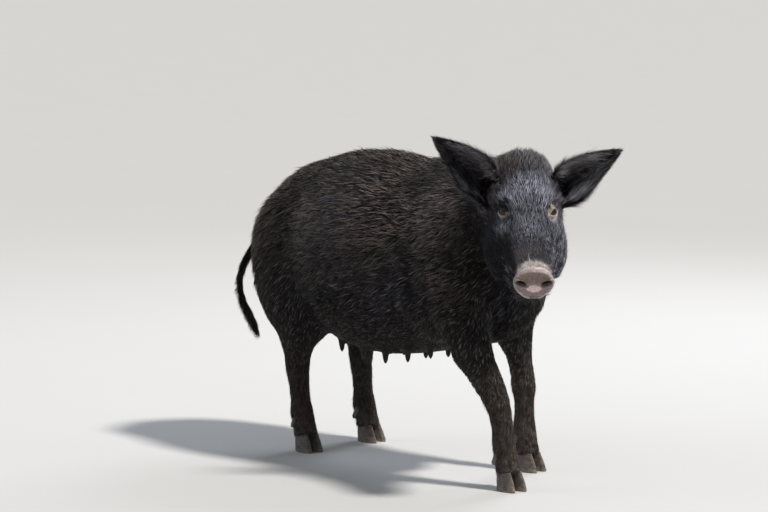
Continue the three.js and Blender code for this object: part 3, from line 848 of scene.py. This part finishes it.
def pulled_together(root, tip, mid, clump, count):
    """Draws the tips of neighbouring locks together, as in a coat that has been wet."""
    heads = chance.choice(count, max(count // 16, 1), replace=False)
    tree = KDTree(len(heads))
    for i, spot in enumerate(root[heads].tolist()):
        tree.insert(spot, i)
    tree.balance()
    mine = heads[[tree.find(spot)[1] for spot in root.tolist()]]
    pull = (root[mine] - root) * (clump * chance.uniform(0.3, 1.2, count))[:, None]
    pull *= (np.linalg.norm(pull, axis=1) < 0.03)[:, None]
    tip += pull
    mid += 0.35 * pull


TRI = corners(skin)
SKIN_TREE = BVHTree.FromPolygons(skin_at.tolist(), TRI.tolist())


def over_skin(points, least):
    """Points moved out, where they need it, to that height over the skin."""
    found = [SKIN_TREE.find_nearest(spot)[:2] for spot in points.tolist()]
    spot = np.array([f[0] for f in found])
    out = np.array([f[1] for f in found])
    height = np.sum((points - spot) * out, 1)
    return points + out * np.maximum(least - height, 0)[:, None]


def coat_piece(
    name, tri, count, lock, looks=LOOK, thick=crowd, manner=MANNER, ways=lie, pale=skin_sheen_and_pale_tips, tint=0
):
    """Grows that many locks on triangles of the skin, each along the lie of the coat."""
    p = skin_at[tri]
    area = 0.5 * np.linalg.norm(np.cross(p[:, 1] - p[:, 0], p[:, 2] - p[:, 0]), axis=1)
    share = np.cumsum(area * thick[tri].mean(1))
    spots = (np.arange(count) + chance.random(count)) / count * share[-1]
    own = np.minimum(np.searchsorted(share, spots), len(tri) - 1)
    r = chance.random((count, 2))
    r = np.where(r.sum(1, keepdims=True) > 1, 1 - r, r)
    mix = np.stack([1 - r.sum(1), r[:, 0], r[:, 1]], 1)

    def on_skin(values):
        return np.einsum("ij,ij...->i...", mix, values[tri[own]])

    root = on_skin(skin_at)
    n = unit(on_skin(skin_out))
    d = on_skin(ways)
    length, width, lift = (on_skin(looks) * np.array([0.001, 0.001, 1])).T
    clump, spread, sway = on_skin(manner).T
    length *= chance.uniform(0.65, 1.25, count)
    width *= chance.uniform(0.65, 1.4, count)
    stray = chance.random(count) < 0.03
    lift = np.radians(lift * chance.uniform(0.5, 1.5, count) + stray * chance.uniform(5, 18, count))
    turn = sway * (0.16 * swell(root, 0.06, 21) + 0.09 * swell(root, 0.018, 22))
    turn += chance.normal(0, spread, count)
    d = unit(d - n * np.sum(d * n, 1, keepdims=True))
    side = np.cross(n, d)
    d = d * np.cos(turn)[:, None] + side * np.sin(turn)[:, None]
    side = np.cross(n, d)
    rise = np.sin(lift)[:, None]
    run = np.cos(lift)[:, None]
    long = length[:, None]
    mid = root + long * 0.5 * (d * run + n * rise)
    bend = chance.normal(0, spread, count)[:, None]
    tip = mid + long * 0.5 * unit(d + side * bend + n * rise * (0.25 if lock is BENT else 0.8))
    pulled_together(root, tip, mid, clump, count)
    tip = over_skin(tip, 0.0012)
    mid = over_skin(mid, 0.0010) if lock is BENT else mid
    half = 0.5 * width[:, None]
    size = len(lock["along"])
    points = np.empty((count, size, 3))
    foot = 0.62 if lock is BENT else 1.0
    for k, (s, t) in enumerate(RING):
        points[:, k] = root - n * 0.7 * half + side * half * foot * s + n * half * 0.5 * t
        if lock is BENT:
            points[:, 3 + k] = mid + side * half * s + n * half * 0.5 * t
    points[:, -1] = tip
    loops = np.concatenate([np.array(f) for f in lock["faces"]])
    loops = (loops[None] + size * np.arange(count)[:, None]).ravel()
    sizes = np.tile([len(f) for f in lock["faces"]], count)
    me = bpy.data.meshes.new(name)
    me.vertices.add(count * size)
    me.vertices.foreach_set("co", points.astype(np.float32).ravel())
    me.loops.add(len(loops))
    me.loops.foreach_set("vertex_index", loops.astype(np.int32))
    me.polygons.add(len(sizes))
    me.polygons.foreach_set("loop_start", np.concatenate([[0], np.cumsum(sizes)[:-1]]).astype(np.int32))
    me.update(calc_edges=True)
    me.polygons.foreach_set("use_smooth", np.ones(len(sizes), bool))
    place = np.einsum("ij,ijk->ik", mix, patch_map(tri)[own])
    uv = np.clip(place[:, None] + PATCH * np.array(lock["map"])[None], 0.0001, 0.9999).reshape(-1, 2)
    layer = me.uv_layers.new(name="OFBake")
    layer.uv.foreach_set("vector", uv[loops].astype(np.float32).ravel())
    piece = bpy.data.objects.new(name, me)
    bpy.context.collection.objects.link(piece)
    note(piece, "along", np.tile(np.array(lock["along"], float), count))
    note(piece, "shade", np.repeat(chance.random(count), size))
    note(piece, "marks", np.repeat(np.maximum(on_skin(skin_marks), tint), size, axis=0))
    note(piece, "silver", np.repeat(on_skin(pale), size))
    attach(piece, "root")
    return piece


tri_zone = np.array([np.bincount(z).argmax() for z in skin_zone[TRI]])
tri_at = skin_at[TRI].mean(1)
quarter = np.where(np.isin(tri_zone, (TRUNK, UPPER)), np.digitize(tri_at[:, 0], (-0.33, -0.14, 0.03)), -1)
face_tri = np.isin(tri_zone, FACE)
fore = into_head(tri_at)[:, 0] >= 0.02
REGIONS = {
    "coat_rump": (quarter == 0, 19800, BENT),
    "coat_loin": (quarter == 1, 19800, BENT),
    "coat_barrel": (quarter == 2, 19800, BENT),
    "coat_shoulders": (quarter == 3, 19800, BENT),
    "coat_neck": (tri_zone == NECK, 16000, BENT),
    "coat_face": (face_tri & fore, 34000, STRAIGHT),
    "coat_crown": (face_tri & ~fore, 34000, STRAIGHT),
    "coat_ears": (np.isin(tri_zone, (EAR_RIGHT, EAR_LEFT)), 24000, STRAIGHT),
    "coat_shanks": (tri_zone == LOWER, 24000, STRAIGHT),
    "coat_tail": (tri_zone == TAIL, 6000, STRAIGHT),
}
coat = {}
for name, (chosen, count, lock) in REGIONS.items():
    coat[name] = coat_piece(name, TRI[chosen], count, lock)

# Whiskers on lips and chin, bristles over the eyes, and the long hairs that screen the ears.
off_top = 1 - ramp(skin_out @ TURN[:, 2], 0.0, 0.4)
whisker = np.where(face, ramp(x, 0.07, 0.15) * (1 - on_disc) * off_top * (0.25 + ramp(-z, 0.055, 0.085)), 0)
brow_tuft = face * hump(around_eye, 0.020, 0.005) * ramp(z, 0.003, 0.013)
brow_tuft *= np.where(y < 0, 1.8, 1.0)
points = len(skin_at)
all_over = np.ones(points)
thin = rows(points, 28 - 5 * brow_tuft, 0.6, 24 - 5 * brow_tuft)
coat["whiskers"] = coat_piece(
    "whiskers", TRI[face_tri], 560, BENT, thin, whisker + 3.5 * brow_tuft, rows(points, 0, 0.10, 1),
    pale=1.3 * all_over,
)
guarded = guard[TRI].max(1) > 0.02
coat["ear_hairs"] = coat_piece(
    "ear_hairs", TRI[guarded], 4200, BENT, rows(points, 30, 0.6, 20), guard, rows(points, 0.5, 0.16, 1),
    guard_way, 0.7 * all_over, (0.7, 0, 0),
)

# ---------- horn of the claws


def horn_piece(name):
    """A claw or dewclaw: the solid's own form, rounded, with growth rings and a worn edge."""
    deselect()
    piece = node_copy(name)
    piece.name = piece.data.name = name + "_horn"
    claw = "dewclaw" not in name
    grow_together(piece, 0.0016 if claw else 0.0012)
    co = places(piece)
    free = ramp(co[:, 2], 0.001, 0.005) if claw else np.ones(len(co))
    free = weights(piece, "round", free)
    apply(piece, "SMOOTH", factor=0.5, iterations=14 if claw else 5, vertex_group=free)
    co = places(piece)
    out = normals(piece)
    low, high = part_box(name)
    height = (co[:, 2] - low[2]) / (high[2] - low[2])
    if claw:
        core = co[height > 0.6].mean(0)[:2]
        drawn = 1 - 0.13 * ramp(height, 0.45, 1.0)
        co[:, :2] = core + (co[:, :2] - core) * drawn[:, None]
    lean = co[:, 2] - 0.10 * (co[:, 0] - low[0])
    rings = np.sin(lean * 2 * math.pi / 0.0052 + 1.2 * swell(co, 0.03, 41))
    side = 1 - np.abs(out[:, 2])
    move = 0.00022 * rings * side * ramp(height, 0.05, 0.25)
    move += 0.0007 * swell(co, 0.016, 42) * side * (1 - ramp(height, 0.10, 0.35)) - 0.0009 * side
    move = np.where(co[:, 2] < 0.0006, 0, move) if claw else move
    co += out * move[:, None]
    co[:, 2] = np.maximum(co[:, 2], low[2])
    put(piece, co)
    note(piece, "height", np.clip((co[:, 2] - low[2]) / 0.040, 0, 1) if claw else height)
    piece.data.shade_smooth()
    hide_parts(name)
    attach(piece, "root")
    return piece


horns = [horn_piece(name) for name in sorted(NODES) if "claw" in name]

# ---------- eyes


def eyeball(side, name):
    """An eyeball with a bulging cornea, turned to look out between its lids."""
    bpy.ops.mesh.primitive_uv_sphere_add(segments=64, ring_count=48, radius=EYE_RADIUS)
    eye = bpy.context.object
    eye.name = eye.data.name = name
    co = places(eye)
    angle = np.degrees(np.arccos(np.clip(co[:, 2] / EYE_RADIUS, -1, 1)))
    turn = np.arctan2(co[:, 1], co[:, 0])
    co *= (1 + 0.05 * np.clip(1 - (angle / 34) ** 2, 0, 1))[:, None]
    look = Vector(TURN @ LOOKS[side])
    spin = np.array(look.to_track_quat("Z", "Y").to_matrix())
    put(eye, co @ spin.T + out_of_head(EYES[side][None])[0])
    note(eye, "ray", np.stack([0.5 + 0.5 * np.cos(turn), 0.5 + 0.5 * np.sin(turn), angle / 90], 1))
    eye.data.shade_smooth()
    return eye


eyes = [eyeball(-1, "eye_right_ball"), eyeball(1, "eye_left_ball")]
for eye in eyes:
    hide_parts(eye.name[:-5])
    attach(eye, "root")

# ---------- finishes


class Kit:
    """A node tree whose nodes are added and linked in one call each."""

    def __init__(self, tree):
        self.tree = tree

    def feed(self, socket, value):
        if isinstance(value, bpy.types.NodeSocket):
            self.tree.links.new(value, socket)
        elif value is not None:
            socket.default_value = (*value[:3], 1) if socket.type == "RGBA" else value

    def add(self, kind, *values, **settings):
        """Adds a node and feeds its inputs in order, where None leaves one as it is."""
        made = self.tree.nodes.new("ShaderNode" + kind)
        for name, setting in settings.items():
            setattr(made, name, setting)
        for number, value in enumerate(values):
            self.feed(made.inputs[number], value)
        return made.outputs

    def mix(self, factor, first, second):
        return self.add("Mix", factor, *[None] * 5, first, second, data_type="RGBA")[2]

    def scale(self, value, low, high, to_low=0.0, to_high=1.0):
        return self.add("MapRange", value, low, high, to_low, to_high)[0]

    def grade(self, value, low, high, first, second):
        """One colour up to the low value, turning into another by the high one."""
        return self.mix(self.scale(value, low, high), first, second)

    def maths(self, operation, a, b):
        return self.add("Math", a, b, operation=operation)[0]

    def times(self, first, *others):
        for other in others:
            first = self.maths("MULTIPLY", first, other)
        return first

    def value(self, name):
        return self.add("Attribute", attribute_name=name)["Fac"]

    def three(self, name):
        return self.add("SeparateColor", self.add("Attribute", attribute_name=name)["Color"])[:3]

    def place(self):
        return self.add("TexCoord")["Object"]

    def noise(self, vector, scale, detail=3.0):
        return self.add("TexNoise", vector, None, scale, detail)[0]

    def stretched(self, vector, scale, turn=(0, 0, 0)):
        return self.add("Mapping", vector, None, turn, scale)[0]

    def group(self, group, *values):
        return self.add("Group", *values, node_tree=group)

    def bump(self, height, strength, distance):
        made = self.tree.nodes.new("ShaderNodeBump")
        for name, value in (("Strength", strength), ("Distance", distance), ("Height", height)):
            self.feed(made.inputs[name], value)
        return made.outputs[0]


class Finish(Kit):
    """The nodes of a new material."""

    def __init__(self, name):
        self.material = bpy.data.materials.new(name)
        self.material.use_nodes = True
        super().__init__(self.material.node_tree)

    def wear(self, pieces, **sockets):
        """Feeds the sockets of the shader, and puts the material on the pieces."""
        shader = self.tree.nodes["Principled BSDF"].inputs
        for name, value in sockets.items():
            self.feed(shader[name.replace("_", " ")], value)
        for piece in pieces:
            piece.data.materials.append(self.material)


def group_of(name, inputs, outputs):
    """A new node group's nodes, and its named ends: (label, kind, value) in and (label, kind) out."""
    tree = bpy.data.node_groups.new(name, "ShaderNodeTree")
    for label, kind, value in inputs:
        end = tree.interface.new_socket(label, in_out="INPUT", socket_type="NodeSocket" + kind)
        end.default_value = value
    for label, kind in outputs:
        tree.interface.new_socket(label, in_out="OUTPUT", socket_type="NodeSocket" + kind)
    return Kit(tree), tree.nodes.new("NodeGroupInput").outputs, tree.nodes.new("NodeGroupOutput").inputs


def soil_group():
    """Dried mud and dust that lie in blotches over a finish."""
    colours = [("Colour", "Color", (0, 0, 0, 1)), ("Soil", "Color", (0.2, 0.17, 0.15, 1))]
    amounts = [("Mud", "Float", 0.0), ("Scale", "Float", 60.0)]
    kit, given, out = group_of("soil", [*colours, *amounts], [("Colour", "Color"), ("Mask", "Float")])
    at = kit.place()
    blotch = kit.scale(kit.noise(at, given["Scale"], 4.0), 0.38, 0.62, 0.15, 1.25)
    speck = kit.scale(kit.noise(at, 420.0, 2.0), 0.35, 0.65, 0.7, 1.2)
    mask = kit.add("Clamp", kit.times(given["Mud"], blotch, speck))[0]
    kit.feed(out["Colour"], kit.mix(mask, given["Colour"], given["Soil"]))
    kit.feed(out["Mask"], mask)
    return kit.tree


def relief_group():
    """Pores and fine wrinkles, as a height from 0 to 1, with the wrinkles alone as a grain."""
    sizes = [("Pores", "Float", 700.0), ("Wrinkles", "Float", 160.0), ("Share", "Float", 0.5)]
    ends = [("Height", "Float"), ("Grain", "Float")]
    kit, given, out = group_of("relief", [("Vector", "Vector", (0, 0, 0)), *sizes], ends)
    pores = kit.add("TexVoronoi", given["Vector"], None, given["Pores"], feature="SMOOTH_F1")
    dents = kit.scale(pores["Distance"], 0.05, 0.5)
    wrinkles = kit.noise(given["Vector"], given["Wrinkles"], 5.0)
    height = kit.add("Mix", given["Share"], None, wrinkles, dents, data_type="FLOAT")[0]
    kit.feed(out["Height"], height)
    kit.feed(out["Grain"], wrinkles)
    return kit.tree


SOIL = soil_group()
RELIEF = relief_group()
COAT_BLACK = (0.0030, 0.0028, 0.0034)
# Tan of the rust tips, made light enough to stand for their sunlit highlight.
COAT_RUST_AND_SUNLIGHT = (0.47, 0.375, 0.330)
# Bluish tint of the painted sky sheen, also used for the real pale tips of whiskers and ear hairs.
COAT_SHEEN_AND_PALE_TIPS = (0.60, 0.62, 0.76)
COAT_MUD = (0.20, 0.165, 0.140)
COAT_GLINT = (0.46, 0.385, 0.325)
COAT_BARE_AND_HIGHLIGHT = (0.82, 0.76, 0.73)
MUD_BLOTCH = 75.0

kit = Finish("bristle")
shade = kit.value("shade")
rust_and_sunlight, mud, bare_lit_and_shaded = kit.three("marks")
outer = kit.scale(kit.value("along"), 0.15, 0.85)
# Painted sheen: pale bluish tips that stand for sky reflected on the wet hair.
pale = kit.times(kit.value("silver"), outer, kit.scale(shade, 0.45, 0.95))
colour = kit.mix(pale, COAT_BLACK, COAT_SHEEN_AND_PALE_TIPS)
# Tawny tips: the sow's own rust, strongest on the upward-facing back as painted sunlight.
tawny = kit.times(rust_and_sunlight, outer, kit.scale(shade, 0.58, 0.05))
colour = kit.mix(tawny, colour, COAT_RUST_AND_SUNLIGHT)
glint = kit.times(kit.scale(shade, 0.86, 0.97), outer, 0.5)
colour = kit.mix(glint, colour, COAT_GLINT)
dusty = kit.times(mud, kit.scale(shade, 0.1, 0.9, 0.25, 1.0))
colour = kit.group(SOIL, colour, COAT_MUD, dusty, MUD_BLOTCH)["Colour"]
# Pale hair on the bare patches: brighter by the sunlit eye and on top of the snout as painted light.
colour = kit.mix(kit.times(bare_lit_and_shaded, kit.scale(shade, 0, 1, 0.5, 1.0)), colour, COAT_BARE_AND_HIGHLIGHT)
rough = kit.scale(shade, 0.0, 1.0, 0.38, 0.58)
kit.wear(coat.values(), Base_Color=colour, Roughness=rough, Specular_IOR_Level=0.10)

# Under the coat: short fur drawn along head, legs and body, bare skin, and the flat of the snout. Painted
# light in its marks: sunlit rust on the back, the lit and shaded bare patches by the eyes, the highlight on
# top of the snout, and the shade of the snout's hollow and nostrils.
kit = Finish("hide")
rust_and_sunlight, mud, bare_lit_and_shaded = kit.three("marks")
dusk, pink, pale = kit.three("snout")
at = kit.place()
drawn = (
    kit.stretched(at, (110, 620, 620), (0, -HEAD_PITCH, -HEAD_YAW)),
    kit.stretched(at, (600, 600, 90)),
    kit.stretched(at, (70, 420, 420)),
)
fur = 0.0
for share, way in zip(kit.three("part"), drawn):
    fur = kit.maths("ADD", fur, kit.times(kit.noise(way, 1.0), share))
relief = kit.group(RELIEF, at, 900.0, 240.0, 0.45)
colour = kit.grade(fur, 0.35, 0.65, (0.004, 0.0037, 0.004), (0.018, 0.0155, 0.015))
# Rust on the hide too, with the painted sunlight of the back.
colour = kit.mix(kit.times(rust_and_sunlight, 0.5), colour, (0.12, 0.080, 0.060))
colour = kit.group(SOIL, colour, COAT_MUD, kit.times(mud, 0.8), MUD_BLOTCH)["Colour"]
grain = kit.scale(relief["Grain"], 0.35, 0.65)
# Bare skin, brighter by the sunlit eye as painted light and dimmer by the shaded one.
colour = kit.mix(bare_lit_and_shaded, colour, kit.mix(grain, (0.32, 0.25, 0.225), (0.66, 0.575, 0.53)))
on_flat = kit.maths("MAXIMUM", kit.maths("MAXIMUM", dusk, pink), kit.value("disc"))
plate = kit.mix(grain, (0.185, 0.145, 0.139), (0.30, 0.241, 0.232))
dusky = kit.mix(grain, (0.145, 0.101, 0.081), (0.24, 0.175, 0.143))
# The dusky upper half is painted shade of the hollow under the rim, and of the nostrils' walls.
colour = kit.mix(on_flat, colour, kit.mix(kit.times(dusk, 0.85), plate, dusky))
colour = kit.mix(pink, colour, kit.mix(grain, (0.62, 0.37, 0.36), (0.88, 0.70, 0.69)))
# Pale rim, whitened on top of the snout as a painted highlight.
rim_share = kit.times(pale, kit.scale(grain, 0, 1, 0.45, 0.95))
colour = kit.mix(rim_share, colour, (0.78, 0.69, 0.66))
# Painted shade deep inside the nostrils.
colour = kit.mix(kit.value("hole"), colour, (0.005, 0.003, 0.003))
colour = kit.mix(kit.value("lash"), colour, (0.012, 0.008, 0.007))
dry = kit.scale(relief["Grain"], 0.3, 0.7, 0.70, 0.46)
rough = kit.maths("SUBTRACT", dry, kit.times(on_flat, 0.13))
shine = kit.scale(kit.maths("MAXIMUM", on_flat, bare_lit_and_shaded), 0, 1, 0.10, 0.38)
height = kit.maths("ADD", kit.times(relief["Height"], 0.9), kit.times(fur, 0.8))
normal = kit.bump(height, 0.8, 0.0012)
kit.wear([skin], Base_Color=colour, Roughness=rough, Specular_IOR_Level=shine, Normal=normal)

kit = Finish("horn")
at = kit.place()
height = kit.value("height")
fibre = kit.noise(kit.stretched(at, (900, 900, 70)), 1.0, 4.0)
bands = kit.noise(kit.stretched(at, (25, 25, 330)), 1.0, 2.0)
colour = kit.grade(fibre, 0.35, 0.65, (0.018, 0.014, 0.012), (0.075, 0.060, 0.050))
colour = kit.mix(kit.times(kit.scale(bands, 0.45, 0.65), 0.55), colour, (0.115, 0.092, 0.074))
worn = kit.scale(kit.maths("ADD", height, kit.times(fibre, 0.25)), 0.34, 0.14)
colour = kit.mix(kit.times(worn, 0.6), colour, (0.23, 0.185, 0.145))
caked = kit.group(SOIL, colour, (0.21, 0.175, 0.145), kit.scale(height, 0.75, 0.0, 0.20, 0.70), 90.0)
rough = kit.scale(caked["Mask"], 0.0, 1.0, 0.38, 0.85)
relief = kit.group(RELIEF, at, 350.0, 120.0, 0.25)
ridges = kit.maths("ADD", bands, kit.times(fibre, 0.5))
normal = kit.bump(kit.maths("ADD", ridges, kit.times(relief["Height"], 0.5)), 0.6, 0.0008)
kit.wear(horns, Base_Color=caked["Colour"], Roughness=rough, Specular_IOR_Level=0.45, Normal=normal)

# Angles from the middle of the cornea, as shares of a right angle: pupil, iris, its dark edge, white.
kit = Finish("iris")
ray_x, ray_y, angle = kit.three("ray")
around = kit.add("CombineXYZ", ray_x, ray_y, kit.times(angle, 0.25))[0]
colour = kit.grade(kit.noise(around, 26.0), 0.35, 0.65, (0.010, 0.0045, 0.0025), (0.055, 0.025, 0.011))
colour = kit.grade(angle, 0.36, 0.41, colour, (0.010, 0.006, 0.005))
sclera = kit.grade(kit.noise(around, 9.0), 0.4, 0.6, (0.42, 0.33, 0.28), (0.24, 0.13, 0.10))
colour = kit.grade(angle, 0.44, 0.50, colour, sclera)
colour = kit.grade(angle, 0.20, 0.17, colour, (0.001, 0.001, 0.001))
wet = {"Roughness": 0.3, "Specular IOR Level": 0.2, "Coat Weight": 0.35, "Coat Roughness": 0.03}
kit.wear(eyes, Base_Color=colour, **wet)

# ---------- studio

CAMERA_AT = (5.0131, -4.5814, 1.2155)
CAMERA_AIM = (-0.1990, 0.0572, 0.4735)
CAMERA_LENS = 137.9
BODY_CENTRE = (0, 0, 0.45)
FLOOR_SIZE = 140


def aimed(made, aim):
    made.rotation_euler = (Vector(aim) - made.location).to_track_quat("-Z", "Y").to_euler()


def lamp(kind, place, aim, colour, energy, **settings):
    bpy.ops.object.light_add(type=kind, location=place)
    made = bpy.context.object
    for name, value in dict(settings, color=colour, energy=energy).items():
        setattr(made.data, name, value)
    aimed(made, aim)


lamp("SUN", (2.1, 0.7, 3.2), (0, 0, 0.3), (1.0, 0.97, 0.93), 4.2, angle=math.radians(7))
lamp("AREA", (-2.8, -3.0, 2.6), BODY_CENTRE, (0.74, 0.84, 1.0), 38, size=2.2)
lamp("AREA", (-1.2, 3.2, 3.0), BODY_CENTRE, (0.85, 0.91, 1.0), 70, size=1.6)

bpy.ops.mesh.primitive_plane_add(size=FLOOR_SIZE, location=(0, 0, 0))
floor = bpy.context.object
floor.name = "floor"
kit = Finish("studio_floor")
grain = kit.noise(kit.place(), 2.0, 2.0)
colour = kit.mix(grain, (0.518, 0.512, 0.502), (0.532, 0.527, 0.517))
kit.wear([floor], Base_Color=colour, Roughness=0.7)

world = bpy.data.worlds.new("studio")
bpy.context.scene.world = world
world.use_nodes = True
sky = world.node_tree.nodes["Background"].inputs
sky["Color"].default_value = (0.88, 0.91, 0.95, 1)
sky["Strength"].default_value = 0.34
bpy.context.scene.view_settings.view_transform = "Standard"

bpy.ops.object.camera_add(location=CAMERA_AT)
camera = bpy.context.object
camera.data.lens = CAMERA_LENS
camera.data.clip_end = 100
aimed(camera, CAMERA_AIM)
bpy.context.scene.camera = camera
